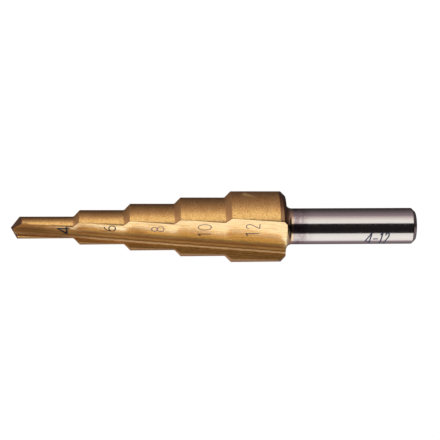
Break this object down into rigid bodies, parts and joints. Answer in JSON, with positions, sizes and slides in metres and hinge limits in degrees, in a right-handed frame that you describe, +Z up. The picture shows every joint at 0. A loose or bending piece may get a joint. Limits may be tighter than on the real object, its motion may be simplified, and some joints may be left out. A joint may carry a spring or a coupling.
{
  "type": "step drill",
  "caption": "Stepped drill bit: coaxial relieved steps grow from a pointed tip, joined by short cones and cut by straight tapering flutes, on a plain round shank.",
  "frame": {"origin": "on the drill's axis, in the middle of the shank's plain cylinder", "axes": "+X along the drill's axis, from the tip to the shank's free end; +Z up with the drill lying at rest on a cutting edge and a heel of its largest step, one flute facing up"},
  "size_m": [0.0671, 0.0116, 0.0098],
  "materials": {
    "step_drill": "gold titanium nitride coating on the ground steps and flutes, bare ground steel on the shank"
  },
  "bodies": {
    "root": {"step_drill": "step_drill"}
  },
  "joints": []
}
